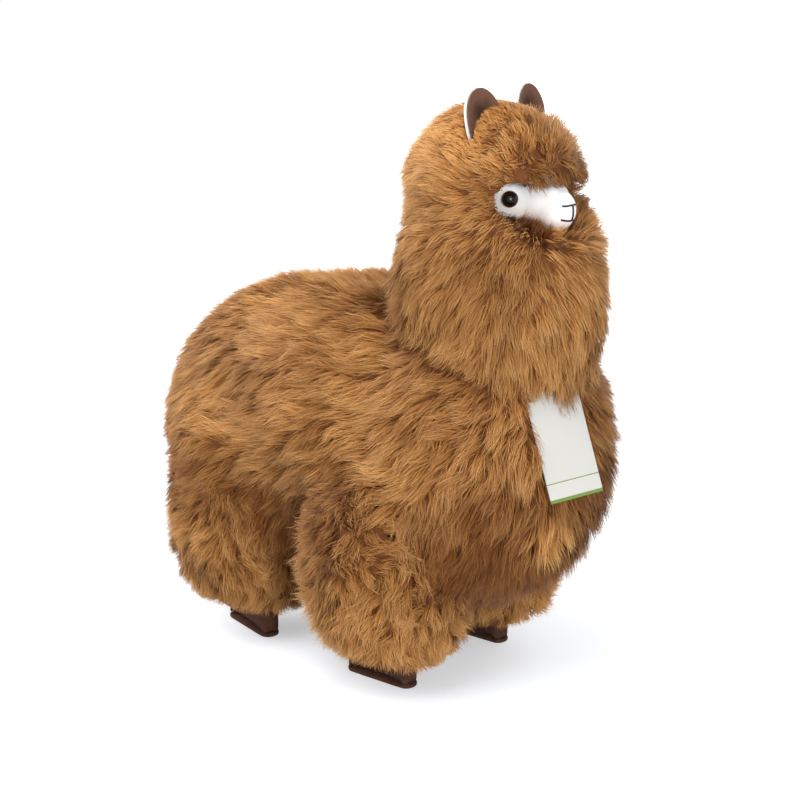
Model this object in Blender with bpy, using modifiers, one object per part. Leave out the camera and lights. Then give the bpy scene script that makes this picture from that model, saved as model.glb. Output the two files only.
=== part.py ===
"""Soft toy alpaca in long fur, standing. Metres, +Z up, facing -Y, its own left side at +X."""

import math

import bmesh
import bpy
from mathutils import Matrix, Vector, noise
from mathutils.bvhtree import BVHTree

MM = 0.001

# Clearances
FIT = 0.35 * MM  # between neighbouring pieces
SLACK = 0.3 * MM  # between a small hard piece and its seat
SHEET_GAP = 0.3 * MM  # between layers of sheet sewn together

# Torso: three rounded masses of fur over the filling
CHEST_WIDTH = 0.196
CHEST_LENGTH = 0.172
CHEST_HEIGHT = 0.222
CHEST_Y = -0.086
CHEST_Z = 0.164
BACK_WIDTH = 0.210
BACK_LENGTH = 0.244
BACK_HEIGHT = 0.180
BACK_Y = 0.010
BACK_Z = 0.185
RUMP_WIDTH = 0.208
RUMP_LENGTH = 0.204
RUMP_HEIGHT = 0.222
RUMP_Y = 0.079
RUMP_Z = 0.154

# Neck and head
NECK_WIDTH = 0.142
NECK_LENGTH = 0.144
NECK_HEIGHT = 0.204
NECK_Y = -0.099
NECK_Z = 0.272
HEAD_WIDTH = 0.118
HEAD_LENGTH = 0.120
HEAD_HEIGHT = 0.118
HEAD_Y = -0.094
HEAD_Z = 0.344

# Legs
LEG_SPACING = 0.107  # between the middles of a left and a right leg
FRONT_LEG_Y = -0.050
FRONT_LEG_WIDTH = 0.126
FRONT_LEG_LENGTH = 0.122
FRONT_LEG_HEIGHT = 0.178
FRONT_LEG_RISE = 0.004  # of its rounded lower end above the ground
REAR_LEG_Y = 0.090
REAR_LEG_WIDTH = 0.112
REAR_LEG_LENGTH = 0.120
REAR_LEG_HEIGHT = 0.172
REAR_LEG_RISE = 0.014
LEG_PARTING = 3.0 * MM  # between the fur of the two legs of a pair
CUFF_HEIGHT = 0.068  # of the fur low on the leg
CUFF_Z = 0.044
FRONT_CUFF_SPACING = 0.107
FRONT_CUFF_Y = -0.054
FRONT_CUFF_WIDTH = 0.098
FRONT_CUFF_LENGTH = 0.094
REAR_CUFF_SPACING = 0.094
REAR_CUFF_Y = 0.088
REAR_CUFF_WIDTH = 0.084
REAR_CUFF_LENGTH = 0.086
FRONT_HEM_Z = 0.011  # lower edge of the fur
REAR_HEM_Z = 0.015

# Feet
FOOT_LENGTH = 0.058
FOOT_WIDTH = 0.015
FOOT_HEIGHT = 0.026
FOOT_END_ROUNDING = 0.47  # of the width, seen from above
FRONT_FOOT_SPACING = 0.107
FRONT_FOOT_Y = -0.041
REAR_FOOT_SPACING = 0.081
REAR_FOOT_Y = 0.097
REAR_FOOT_TURN = 16.0  # degrees that the rear toes point outwards
FOOT_ROUNDING = 4.0 * MM  # at the boot's upper edge
SOLE_THICKNESS = 3.0 * MM
SOLE_WELT = 0.2 * MM  # by which the sole stands out past the boot
SOLE_ROUNDING = 1.3 * MM  # at the ground

# Tail
TAIL_WIDTH = 0.044
TAIL_LENGTH = 0.046
TAIL_HEIGHT = 0.066
TAIL_RISE = 0.030  # of the tail's root above the middle of the rump
TAIL_ROOT = 0.012  # depth of the tail's root in the rump
TAIL_HANG = 0.0165  # of the tail's middle below its root

# Face
SKULL_WIDTH = 0.060
SKULL_LENGTH = 0.062
SKULL_HEIGHT = 0.052
SKULL_AHEAD = 0.011  # of its middle, ahead of the head's middle
SKULL_DROP = 0.002  # of its middle, below the head's middle
BRIDGE_WIDTH = 0.036
BRIDGE_LENGTH = 0.048
BRIDGE_HEIGHT = 0.028
BRIDGE_AHEAD = 0.031
BRIDGE_DROP = 0.005
SNOUT_WIDTH = 0.0245
SNOUT_LENGTH = 0.026
SNOUT_HEIGHT = 0.027
SNOUT_AHEAD = 0.0487
SNOUT_DROP = 0.0105
DISH_WIDTH = 0.090  # of the hollow in the fur in which the face lies
DISH_DEPTH = 0.088
DISH_HEIGHT = 0.040
DISH_AHEAD = 0.063
DISH_DROP = 0.009

# Eyes
EYE_DIAMETER = 0.0110
EYE_DOME = 0.0042
EYE_RIM = 0.0008
EYE_ASIDE = 39.0  # degrees away from straight ahead, seen from above
EYE_DROP = 0.0028  # below the head's middle
EYE_CLEARING = 0.0050  # free of fur round the eye
EYE_OUTLOOK = 0.034  # how far out from the eye the fur is parted
EYE_OUTLOOK_ASIDE = 10.0  # degrees by which the parting turns further outwards than the eye
SHANK_DIAMETER = 0.0034
SHANK_LENGTH = 0.011
WASHER_DIAMETER = 0.0100
WASHER_THICKNESS = 0.0014
WASHER_DEPTH = 0.0050  # of the washer's outer side below the eye's seat

# Mouth stitching
THREAD_DIAMETER = 1.3 * MM
NOSTRIL_RISE = 0.0038  # above the snout's middle
MOUTH_DROP = 0.0059  # below the snout's middle
NOSTRIL_REACH = 0.0074  # from the middle to each side
MOUTH_REACH = 0.0078
MOUTH_LIFT = 0.0012  # by which the corners of the mouth stand higher than its middle

# Ears
EAR_WIDTH = 0.0345
EAR_LENGTH = 0.046
EAR_CUP = 0.0070  # depth of the hollow
EAR_TIP_CUP = 0.45  # share of that depth at the tip
EAR_ROOT_NARROWING = 0.34  # share of the width that is lost at the root
EAR_SPACING = 0.046
EAR_AHEAD = 0.0135  # ahead of the head's middle
EAR_SPLAY = 7.0  # degrees that the ear leans outwards
EAR_TURN = 4.0  # degrees that the hollow turns outwards
EAR_LEAN = 4.0  # degrees that the ear leans back
EAR_TOP = 0.0085  # of the ear's tip above the top of the head
SUEDE_THICKNESS = 1.3 * MM
LINING_THICKNESS = 2.2 * MM

# Tag
TAG_WIDTH = 0.047
TAG_HEIGHT = 0.080
TAG_THICKNESS = 0.7 * MM
TAG_TURN = 11.0  # degrees towards the toy's right
TAG_LEAN = 22.0  # degrees that its top leans back
TAG_MIDDLE_Z = 0.188
TAG_SINK = 5.0 * MM  # of the card's middle into the chest's fur

# Fur relief
LUMP_SIZE = 0.045
LUMP_HEIGHT = 0.0030
LOCK_LENGTH = 0.040
LOCK_WIDTH = 0.0135
LOCK_HEIGHT = 0.0034
TORSO_FLOW = (0.0, 0.92, -0.38)  # which way the locks lie
NECK_FLOW = (0.0, -0.2, -0.98)
LEG_FLOW = (0.25, 0.15, -0.95)  # on the left, and mirrored on the right
TAIL_FLOW = (0.0, 0.3, -0.95)
TORSO_SEED = 0.31
NECK_SEED = 0.77
LEG_SEED = 0.19
TAIL_SEED = 0.53

# Meshes
VOXEL = 0.005
FACE_VOXEL = 0.0018
TAIL_VOXEL = 0.0025
BODY_SMOOTHING = 14
LEG_SMOOTHING = 5
FACE_SMOOTHING = 4
TAIL_SMOOTHING = 2
TORSO_FACES = 2600
NECK_FACES = 1900
LEG_FACES = 640
TAIL_FACES = 200
FACE_FACES = 560
SPHERE_COLUMNS = 24
SPHERE_ROWS = 14
EAR_COLUMNS = 6
EAR_ROWS = 7
TURN_STEPS = 18
DOME_STEPS = 6
THREAD_STEPS = 8
MERGE = 0.01 * MM

# Each material: its name, colour and roughness
FUR = ("fur", (0.43, 0.19, 0.055, 1.0), 0.9)
SUEDE = ("suede", (0.115, 0.045, 0.027, 1.0), 0.85)
FLEECE = ("fleece", (0.83, 0.80, 0.76, 1.0), 0.95)
EYE_PLASTIC = ("eye", (0.030, 0.009, 0.004, 1.0), 0.08)
THREAD = ("thread", (0.012, 0.011, 0.011, 1.0), 0.7)
NYLON = ("washer", (0.62, 0.62, 0.60, 1.0), 0.5)
CARD = ("card", (0.86, 0.86, 0.83, 1.0), 0.4)


def clear_scene():
    for obj in list(bpy.data.objects):
        bpy.data.objects.remove(obj)


def new_collection(name):
    collection = bpy.data.collections.new(name)
    bpy.context.scene.collection.children.link(collection)
    return collection


clear_scene()
PIECES = new_collection("plush_alpaca")
CUTTERS = new_collection("cutters")
ROOT = bpy.data.objects.new("plush_alpaca_root", None)
PIECES.objects.link(ROOT)


def material(name, colour, roughness):
    made = bpy.data.materials.get(name)
    if made:
        return made
    made = bpy.data.materials.new(name)
    made.use_nodes = True
    shader = made.node_tree.nodes["Principled BSDF"]
    shader.inputs["Base Color"].default_value = colour
    shader.inputs["Roughness"].default_value = roughness
    made.diffuse_color = colour
    return made


def piece(name, mesh, look):
    """One named part of the toy."""
    obj = bpy.data.objects.new(name, mesh)
    PIECES.objects.link(obj)
    obj.parent = ROOT
    mesh.materials.clear()
    mesh.materials.append(material(*look))
    mesh.shade_smooth()
    return obj


def helper(name, mesh):
    """A form that only cuts others."""
    obj = bpy.data.objects.new(name, mesh)
    CUTTERS.objects.link(obj)
    obj.parent = ROOT
    obj.hide_render = True
    obj.display_type = "WIRE"
    return obj


def mesh_of(bm, name):
    mesh = bpy.data.meshes.new(name)
    bmesh.ops.recalc_face_normals(bm, faces=bm.faces)
    bm.to_mesh(mesh)
    bm.free()
    return mesh


def evaluated_mesh(obj):
    graph = bpy.context.evaluated_depsgraph_get()
    return bpy.data.meshes.new_from_object(obj.evaluated_get(graph))


def add_ellipsoid(bm, centre, size):
    made = bmesh.ops.create_uvsphere(bm, u_segments=SPHERE_COLUMNS, v_segments=SPHERE_ROWS, radius=0.5)
    bmesh.ops.scale(bm, vec=size, verts=made["verts"])
    bmesh.ops.translate(bm, vec=centre, verts=made["verts"])


def blended(name, masses, smoothing=BODY_SMOOTHING, voxel=VOXEL):
    """One smooth closed form around overlapping ellipsoids, each given as (centre, size)."""
    bm = bmesh.new()
    for centre, size in masses:
        add_ellipsoid(bm, centre, size)
    obj = helper(name + "_masses", mesh_of(bm, name + "_masses"))
    remesh = obj.modifiers.new("Fuse", "REMESH")
    remesh.mode = "VOXEL"
    remesh.voxel_size = voxel
    smooth = obj.modifiers.new("Blend", "SMOOTH")
    smooth.factor = 0.5
    smooth.iterations = smoothing
    made = evaluated_mesh(obj)
    bpy.data.objects.remove(obj)
    return made


def lock_relief(point, flow, seed):
    """Height of the fur at a point: broad lumps, and locks that run along the flow."""
    place = point + Vector((seed, -seed, 2 * seed))
    lump = noise.noise(place / LUMP_SIZE) * LUMP_HEIGHT
    along = place.dot(flow)
    across = place - flow * along
    ridge = 1 - 2 * abs(noise.noise(across / LOCK_WIDTH + flow * (along / LOCK_LENGTH)))
    return lump + (ridge - 0.5) * LOCK_HEIGHT


def furred(name, mesh, flow, seed, faces):
    """The form with its locks of fur raised, thinned to about this many triangles."""
    direction = Vector(flow).normalized()
    bm = bmesh.new()
    bm.from_mesh(mesh)
    bmesh.ops.triangulate(bm, faces=bm.faces)
    bm.normal_update()
    moves = [v.normal * lock_relief(v.co, direction, seed) for v in bm.verts]
    for vert, move in zip(bm.verts, moves):
        vert.co += move
    share = min(1.0, faces / len(bm.faces))
    obj = helper(name + "_dense", mesh_of(bm, name + "_dense"))
    thin = obj.modifiers.new("Thin", "DECIMATE")
    thin.ratio = share
    made = evaluated_mesh(obj)
    bpy.data.objects.remove(obj)
    made.name = name
    return made


def swollen(name, mesh, by):
    """A cutter a little larger than a form, so that what it cuts stays clear of that form."""
    obj = helper(name, mesh.copy())
    grow = obj.modifiers.new("Grow", "DISPLACE")
    grow.mid_level = 0.0
    grow.strength = by
    return obj


def cut(obj, cutter):
    boolean = obj.modifiers.new("Clear of " + cutter.name, "BOOLEAN")
    boolean.operation = "DIFFERENCE"
    boolean.object = cutter


def settle(obj):
    """Applies the cuts and keeps the main body, without the crumbs that a cut through fur can leave."""
    mesh = evaluated_mesh(obj)
    slots = list(obj.data.materials)
    obj.modifiers.clear()
    bm = bmesh.new()
    bm.from_mesh(mesh)
    bmesh.ops.triangulate(bm, faces=bm.faces)
    unseen = set(bm.faces)
    islands = []
    while unseen:
        stack = [unseen.pop()]
        island = list(stack)
        while stack:
            for edge in stack.pop().edges:
                for near in edge.link_faces:
                    if near in unseen:
                        unseen.remove(near)
                        stack.append(near)
                        island.append(near)
        islands.append(island)
    islands.sort(key=lambda island: sum(face.calc_area() for face in island))
    crumbs = [face for island in islands[:-1] for face in island]
    bmesh.ops.delete(bm, geom=crumbs, context="FACES")
    loose = [vert for vert in bm.verts if not vert.link_faces]
    bmesh.ops.delete(bm, geom=loose, context="VERTS")
    bm.to_mesh(mesh)
    bm.free()
    mesh.materials.clear()
    for slot in slots:
        mesh.materials.append(slot)
    obj.data = mesh
    return obj


def surface_of(mesh):
    bm = bmesh.new()
    bm.from_mesh(mesh)
    tree = BVHTree.FromBMesh(bm)
    bm.free()
    return tree


def seat_on(tree, inside, direction):
    """The point where a line from inside a form leaves it, and the surface's outward normal there."""
    start = Vector(inside) + Vector(direction).normalized()
    point, normal, _, _ = tree.ray_cast(start, -Vector(direction).normalized())
    return point, normal


def turned(name, profile):
    """A solid turned round Z from (radius, height) points that run down its outer side."""
    bm = bmesh.new()
    verts = [bm.verts.new((radius, 0, height)) for radius, height in profile]
    for a, b in zip(verts, verts[1:]):
        bm.edges.new((a, b))
    mesh = bpy.data.meshes.new(name)
    bm.to_mesh(mesh)
    bm.free()
    obj = helper(name + "_profile", mesh)
    screw = obj.modifiers.new("Turn", "SCREW")
    screw.steps = screw.render_steps = TURN_STEPS
    screw.use_merge_vertices = True
    screw.merge_threshold = MERGE
    made = evaluated_mesh(obj)
    bpy.data.objects.remove(obj)
    bm = bmesh.new()
    bm.from_mesh(made)
    bmesh.ops.remove_doubles(bm, verts=bm.verts, dist=MERGE)
    return mesh_of(bm, name)


def rounded_block(name, length, width, height, upper, lower):
    """A foot's block along Y, standing on Z = 0: half-round ends, and rounded upper and lower rims."""
    bm = bmesh.new()
    bmesh.ops.create_cube(bm, size=1.0)
    bmesh.ops.scale(bm, vec=(width, length, height), verts=bm.verts)
    bmesh.ops.translate(bm, vec=(0, 0, height / 2), verts=bm.verts)
    upright = [e for e in bm.edges if abs(e.verts[0].co.z - e.verts[1].co.z) > height / 2]
    bmesh.ops.bevel(
        bm,
        geom=upright,
        offset=width * FOOT_END_ROUNDING,
        segments=5,
        profile=0.5,
        affect="EDGES",
        material=-1,
    )
    for level, rounding in ((height, upper), (0.0, lower)):
        rim = [
            e
            for e in bm.edges
            if all(abs(v.co.z - level) < 1e-6 for v in e.verts)
            and any(abs(f.normal.z) < 0.5 for f in e.link_faces)
        ]
        if rounding > 0:
            bmesh.ops.bevel(
                bm, geom=rim, offset=rounding, segments=2, profile=0.5, affect="EDGES", material=-1
            )
    bmesh.ops.triangulate(bm, faces=bm.faces)
    return mesh_of(bm, name)


def placed(mesh, matrix):
    copy = mesh.copy()
    copy.transform(matrix)
    if matrix.determinant() < 0:
        copy.flip_normals()
    return copy


def ear_leaf(name, width, length, front, back):
    """A cupped leaf on its root at the origin, hollow towards -Y, between two depths along Y."""
    bm = bmesh.new()
    bmesh.ops.create_grid(bm, x_segments=EAR_COLUMNS, y_segments=EAR_ROWS, size=1.0)
    for vert in bm.verts:
        u, v = vert.co.x, vert.co.y
        x = u * math.sqrt(1 - v * v / 2)
        y = v * math.sqrt(1 - u * u / 2)
        height = (y + 1) / 2
        narrowing = 1.0 - EAR_ROOT_NARROWING * (1 - height) ** 2
        hollow = EAR_CUP * (1 - x * x) * (1 - (1 - EAR_TIP_CUP) * height)
        vert.co = Vector((x * narrowing * width / 2, hollow, height * length))
    bmesh.ops.recalc_face_normals(bm, faces=bm.faces)
    front_side = list(bm.faces)
    if sum(face.normal.y for face in front_side) > 0:
        bmesh.ops.reverse_faces(bm, faces=front_side)
    bm.normal_update()
    normals = {vert: vert.normal.copy() for vert in bm.verts}
    copied = bmesh.ops.duplicate(bm, geom=list(bm.verts) + list(bm.edges) + list(bm.faces))
    pairs = copied["vert_map"]
    back_side = [item for item in copied["geom"] if isinstance(item, bmesh.types.BMFace)]
    bmesh.ops.reverse_faces(bm, faces=back_side)
    for vert, normal in normals.items():
        pairs[vert].co -= normal * back
        vert.co -= normal * front
    rims = [edge for edge in bm.edges if edge.is_boundary]
    bmesh.ops.bridge_loops(bm, edges=rims)
    bmesh.ops.triangulate(bm, faces=bm.faces)
    return mesh_of(bm, name)


def thread_run(name, points):
    """A run of thread through points, as a mesh with its ends closed."""
    curve = bpy.data.curves.new(name, "CURVE")
    curve.dimensions = "3D"
    curve.bevel_depth = THREAD_DIAMETER / 2
    curve.bevel_resolution = 2
    curve.use_fill_caps = True
    spline = curve.splines.new("POLY")
    spline.points.add(len(points) - 1)
    for item, point in zip(spline.points, points):
        item.co = (*point, 1.0)
    obj = bpy.data.objects.new(name, curve)
    CUTTERS.objects.link(obj)
    made = evaluated_mesh(obj)
    bpy.data.objects.remove(obj)
    bm = bmesh.new()
    bm.from_mesh(made)
    bmesh.ops.remove_doubles(bm, verts=bm.verts, dist=MERGE)
    return mesh_of(bm, name)


SIDES = (("right", -1), ("left", 1))
LEGS = {
    "front": (
        (LEG_SPACING, FRONT_LEG_Y, FRONT_LEG_RISE + FRONT_LEG_HEIGHT / 2),
        (FRONT_LEG_WIDTH, FRONT_LEG_LENGTH, FRONT_LEG_HEIGHT),
        (FRONT_CUFF_SPACING, FRONT_CUFF_Y, CUFF_Z),
        (FRONT_CUFF_WIDTH, FRONT_CUFF_LENGTH, CUFF_HEIGHT),
        FRONT_HEM_Z,
    ),
    "rear": (
        (LEG_SPACING, REAR_LEG_Y, REAR_LEG_RISE + REAR_LEG_HEIGHT / 2),
        (REAR_LEG_WIDTH, REAR_LEG_LENGTH, REAR_LEG_HEIGHT),
        (REAR_CUFF_SPACING, REAR_CUFF_Y, CUFF_Z),
        (REAR_CUFF_WIDTH, REAR_CUFF_LENGTH, CUFF_HEIGHT),
        REAR_HEM_Z,
    ),
}
FEET = {
    "front": (FRONT_FOOT_SPACING, FRONT_FOOT_Y, 0.0),
    "rear": (REAR_FOOT_SPACING, REAR_FOOT_Y, REAR_FOOT_TURN),
}


# Stuffed forms
def torso_form():
    masses = [
        ((0, CHEST_Y, CHEST_Z), (CHEST_WIDTH, CHEST_LENGTH, CHEST_HEIGHT)),
        ((0, BACK_Y, BACK_Z), (BACK_WIDTH, BACK_LENGTH, BACK_HEIGHT)),
        ((0, RUMP_Y, RUMP_Z), (RUMP_WIDTH, RUMP_LENGTH, RUMP_HEIGHT)),
    ]
    return furred("torso_form", blended("torso", masses), TORSO_FLOW, TORSO_SEED, TORSO_FACES)


def neck_form():
    masses = [
        ((0, NECK_Y, NECK_Z), (NECK_WIDTH, NECK_LENGTH, NECK_HEIGHT)),
        ((0, HEAD_Y, HEAD_Z), (HEAD_WIDTH, HEAD_LENGTH, HEAD_HEIGHT)),
    ]
    return furred("neck_form", blended("neck", masses), NECK_FLOW, NECK_SEED, NECK_FACES)


def leg_form(pair, side):
    thigh_place, thigh_size, cuff_place, cuff_size, _ = LEGS[pair]
    masses = [
        ((side * spacing / 2, y, z), size)
        for (spacing, y, z), size in ((thigh_place, thigh_size), (cuff_place, cuff_size))
    ]
    aside, back, up = LEG_FLOW
    seed = LEG_SEED * side + thigh_place[1]
    form = blended("leg", masses, LEG_SMOOTHING)
    return furred(f"leg_{pair}_form", form, (side * aside, back, up), seed, LEG_FACES)


def face_form():
    """The muzzle and the front of the skull that carries the eyes."""
    masses = [
        (
            (0, HEAD_Y - SKULL_AHEAD, HEAD_Z - SKULL_DROP),
            (SKULL_WIDTH, SKULL_LENGTH, SKULL_HEIGHT),
        ),
        (
            (0, HEAD_Y - BRIDGE_AHEAD, HEAD_Z - BRIDGE_DROP),
            (BRIDGE_WIDTH, BRIDGE_LENGTH, BRIDGE_HEIGHT),
        ),
        (
            (0, HEAD_Y - SNOUT_AHEAD, HEAD_Z - SNOUT_DROP),
            (SNOUT_WIDTH, SNOUT_LENGTH, SNOUT_HEIGHT),
        ),
    ]
    dense = blended("face", masses, FACE_SMOOTHING, FACE_VOXEL)
    obj = helper("face_dense", dense)
    thin = obj.modifiers.new("Thin", "DECIMATE")
    thin.ratio = min(1.0, FACE_FACES / (2 * len(dense.polygons)))
    thin.use_symmetry = True
    thin.symmetry_axis = "X"
    made = evaluated_mesh(obj)
    bpy.data.objects.remove(obj)
    return made


def tail_form(torso_surface):
    root, _ = seat_on(torso_surface, (0, RUMP_Y, RUMP_Z + TAIL_RISE), (0, 1, 0))
    middle = (0, root.y - TAIL_ROOT + TAIL_LENGTH / 2, root.z - TAIL_HANG)
    masses = [(middle, (TAIL_WIDTH, TAIL_LENGTH, TAIL_HEIGHT))]
    form = blended("tail", masses, TAIL_SMOOTHING, TAIL_VOXEL)
    return furred("tail_form", form, TAIL_FLOW, TAIL_SEED, TAIL_FACES)


TORSO = torso_form()
NECK = neck_form()
FACE = face_form()
TORSO_SURFACE = surface_of(TORSO)
FACE_SURFACE = surface_of(FACE)
HEAD_MIDDLE = Vector((0, HEAD_Y, HEAD_Z))


# Tag
def tag_matrix():
    direction = Vector((-math.sin(math.radians(TAG_TURN)), -math.cos(math.radians(TAG_TURN)), 0))
    point, _ = seat_on(TORSO_SURFACE, (0, CHEST_Y, TAG_MIDDLE_Z), direction)
    turn = Matrix.Rotation(math.radians(-TAG_TURN), 4, "Z")
    lean = Matrix.Rotation(math.radians(-TAG_LEAN), 4, "X")
    return Matrix.Translation(point - direction * TAG_SINK) @ turn @ lean


def tag_block(name, spare, ahead=0.0):
    """The card, larger all round by a spare width, or the room from its back to some way ahead of it."""
    bm = bmesh.new()
    bmesh.ops.create_cube(bm, size=1.0)
    thickness = TAG_THICKNESS + 2 * spare + ahead
    bmesh.ops.scale(bm, vec=(TAG_WIDTH + 2 * spare, thickness, TAG_HEIGHT + 2 * spare), verts=bm.verts)
    bmesh.ops.translate(bm, vec=(0, -ahead / 2, 0), verts=bm.verts)
    return placed(mesh_of(bm, name), tag_matrix())


# Ears
def ear_matrix(side):
    tip_z = HEAD_Z + HEAD_HEIGHT / 2 + EAR_TOP
    place = Matrix.Translation((side * EAR_SPACING / 2, HEAD_Y - EAR_AHEAD, tip_z - EAR_LENGTH))
    splay = Matrix.Rotation(math.radians(side * EAR_SPLAY), 4, "Y")
    lean = Matrix.Rotation(math.radians(-EAR_LEAN), 4, "X")
    turn = Matrix.Rotation(math.radians(side * EAR_TURN), 4, "Z")
    return place @ splay @ lean @ turn


def ear_layer(name, side, front, back, spare=0.0):
    leaf = ear_leaf(name, EAR_WIDTH + 2 * spare, EAR_LENGTH + 2 * spare, front, back)
    leaf.transform(Matrix.Translation((0, 0, -spare)))
    return placed(leaf, ear_matrix(side))


# Eyes
def eye_matrix(side):
    aside = math.radians(EYE_ASIDE)
    direction = Vector((side * math.sin(aside), -math.cos(aside), 0))
    inside = HEAD_MIDDLE - Vector((0, 0, EYE_DROP))
    point, _ = seat_on(FACE_SURFACE, inside, direction)
    upright = direction.to_track_quat("Z", "Y").to_matrix().to_4x4()
    return Matrix.Translation(point) @ upright


def eye_profile():
    radius = EYE_DIAMETER / 2
    angles = [math.pi / 2 * i / DOME_STEPS for i in range(DOME_STEPS + 1)]
    dome = [(radius * math.sin(a), EYE_RIM + EYE_DOME * math.cos(a)) for a in angles]
    dome[0] = (0.0, dome[0][1])
    shank = SHANK_DIAMETER / 2
    return dome + [(radius, 0.0), (shank, 0.0), (shank, -SHANK_LENGTH), (0.0, -SHANK_LENGTH)]


def washer_profile():
    inner = SHANK_DIAMETER / 2 + SLACK
    outer = WASHER_DIAMETER / 2
    top = -WASHER_DEPTH
    bottom = top - WASHER_THICKNESS
    return [(inner, top), (outer, top), (outer, bottom), (inner, bottom), (inner, top)]


def eye_pocket_profile():
    """What the face leaves free for an eye: its seat, the shank's hole and the washer's room."""
    seat = EYE_DIAMETER / 2 + SLACK
    hole = SHANK_DIAMETER / 2 + SLACK
    room = WASHER_DIAMETER / 2 + SLACK
    top = -WASHER_DEPTH + SLACK
    bottom = -WASHER_DEPTH - WASHER_THICKNESS - SLACK
    return [
        (0.0, EYE_DOME + EYE_RIM + SLACK),
        (seat, EYE_DOME + EYE_RIM + SLACK),
        (seat, -SLACK),
        (hole, -SLACK),
        (hole, top),
        (room, top),
        (room, bottom),
        (hole, bottom),
        (hole, -SHANK_LENGTH - SLACK),
        (0.0, -SHANK_LENGTH - SLACK),
    ]


# Mouth
def on_snout(x, z):
    """The middle of the thread at a place of the snout's front, given across and up from its middle."""
    middle = Vector((0, HEAD_Y - SNOUT_AHEAD, HEAD_Z - SNOUT_DROP))
    reach = SNOUT_WIDTH / 2
    aside = math.asin(x / reach)
    direction = Vector((math.sin(aside), -math.cos(aside), z / reach))
    point, normal = seat_on(FACE_SURFACE, middle, direction)
    return point + normal * (THREAD_DIAMETER / 2 + SLACK)


def mouth_runs():
    """The three runs of thread: under the nostrils, down the lip and along the mouth."""
    shares = [i / THREAD_STEPS for i in range(THREAD_STEPS + 1)]
    turns = [2 * share - 1 for share in shares]
    nostrils = [on_snout(NOSTRIL_REACH * t, NOSTRIL_RISE) for t in turns]
    mouth = [on_snout(MOUTH_REACH * t, MOUTH_LIFT * t * t - MOUTH_DROP) for t in turns]
    lip = [on_snout(0, NOSTRIL_RISE - (MOUTH_DROP + NOSTRIL_RISE) * share) for share in shares]
    return (
        thread_run("nostril_thread", nostrils),
        thread_run("lip_thread", lip),
        thread_run("mouth_thread", mouth),
    )


def build_torso(tag_bed):
    """The torso, with its fur pressed flat where the card lies on it."""
    torso = piece("torso", TORSO.copy(), FUR)
    cut(torso, tag_bed)
    return settle(torso)


def eye_outlook(word, side):
    """The parting of the fur in front of an eye."""
    bm = bmesh.new()
    across = EYE_DIAMETER + 2 * EYE_CLEARING
    add_ellipsoid(bm, (0, 0, 0), (across, across, 2 * EYE_OUTLOOK))
    further = Matrix.Rotation(math.radians(side * EYE_OUTLOOK_ASIDE), 4, "Z")
    seat = eye_matrix(side)
    place = Matrix.Translation(seat.translation) @ further @ seat.to_3x3().to_4x4()
    return helper(f"eye_outlook_{word}", placed(mesh_of(bm, "eye_outlook"), place))


def build_neck(torso_room, face_room, tag_slot, ear_slots):
    outlooks = [eye_outlook(word, side) for word, side in SIDES]
    bm = bmesh.new()
    add_ellipsoid(
        bm,
        (0, HEAD_Y - DISH_AHEAD, HEAD_Z - DISH_DROP),
        (DISH_WIDTH, DISH_DEPTH, DISH_HEIGHT),
    )
    dish = helper("face_dish", mesh_of(bm, "face_dish"))
    neck = piece("neck_and_head", NECK.copy(), FUR)
    for cutter in (dish, face_room, *outlooks, torso_room, tag_slot, *ear_slots):
        cut(neck, cutter)
    return settle(neck)


def build_legs(torso_room, foot_rooms):
    reach = BACK_LENGTH + CHEST_LENGTH + RUMP_LENGTH
    for pair, (_, _, _, _, hem_z) in LEGS.items():
        for word, side in SIDES:
            bm = bmesh.new()
            bmesh.ops.create_cube(bm, size=reach)
            bmesh.ops.translate(bm, vec=(0, 0, hem_z - reach / 2), verts=bm.verts)
            ground = helper(f"below_hem_{pair}_{word}", mesh_of(bm, "below_hem"))
            bm = bmesh.new()
            bmesh.ops.create_cube(bm, size=reach)
            shift = side * (LEG_PARTING / 2 - reach / 2)
            bmesh.ops.translate(bm, vec=(shift, 0, 0), verts=bm.verts)
            other_side = helper(f"across_{pair}_{word}", mesh_of(bm, "across"))
            leg = piece(f"leg_{pair}_{word}", leg_form(pair, side), FUR)
            for cutter in (ground, other_side, torso_room, foot_rooms[pair, word]):
                cut(leg, cutter)
            settle(leg)


def build_feet():
    """The boots and soles, and the room that each leg leaves for its boot."""
    rooms = {}
    boot_foot = SOLE_THICKNESS + SHEET_GAP
    boot_height = FOOT_HEIGHT - boot_foot
    room_height = FOOT_HEIGHT + FIT
    sole_length = FOOT_LENGTH + 2 * SOLE_WELT
    sole_width = FOOT_WIDTH + 2 * SOLE_WELT
    for pair, (spacing, y, turn) in FEET.items():
        for word, side in SIDES:
            place = Matrix.Translation((side * spacing / 2, y, 0))
            heading = place @ Matrix.Rotation(math.radians(side * turn), 4, "Z")
            lifted = heading @ Matrix.Translation((0, 0, boot_foot))
            boot = rounded_block("boot", FOOT_LENGTH, FOOT_WIDTH, boot_height, FOOT_ROUNDING, 0.0)
            piece(f"foot_{pair}_{word}", placed(boot, lifted), SUEDE)
            sole = rounded_block("sole", sole_length, sole_width, SOLE_THICKNESS, 0.0, SOLE_ROUNDING)
            piece(f"sole_{pair}_{word}", placed(sole, heading), SUEDE)
            room_length = sole_length + 2 * FIT
            room_width = sole_width + 2 * FIT
            room = rounded_block("room", room_length, room_width, room_height, FOOT_ROUNDING, 0.0)
            rooms[pair, word] = helper(f"foot_room_{pair}_{word}", placed(room, heading))
    return rooms


def build_face():
    face = piece("face", FACE.copy(), FLEECE)
    pocket = turned("eye_pocket", eye_pocket_profile())
    for word, side in SIDES:
        cut(face, helper(f"eye_pocket_{word}", placed(pocket, eye_matrix(side))))
    settle(face)


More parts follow.
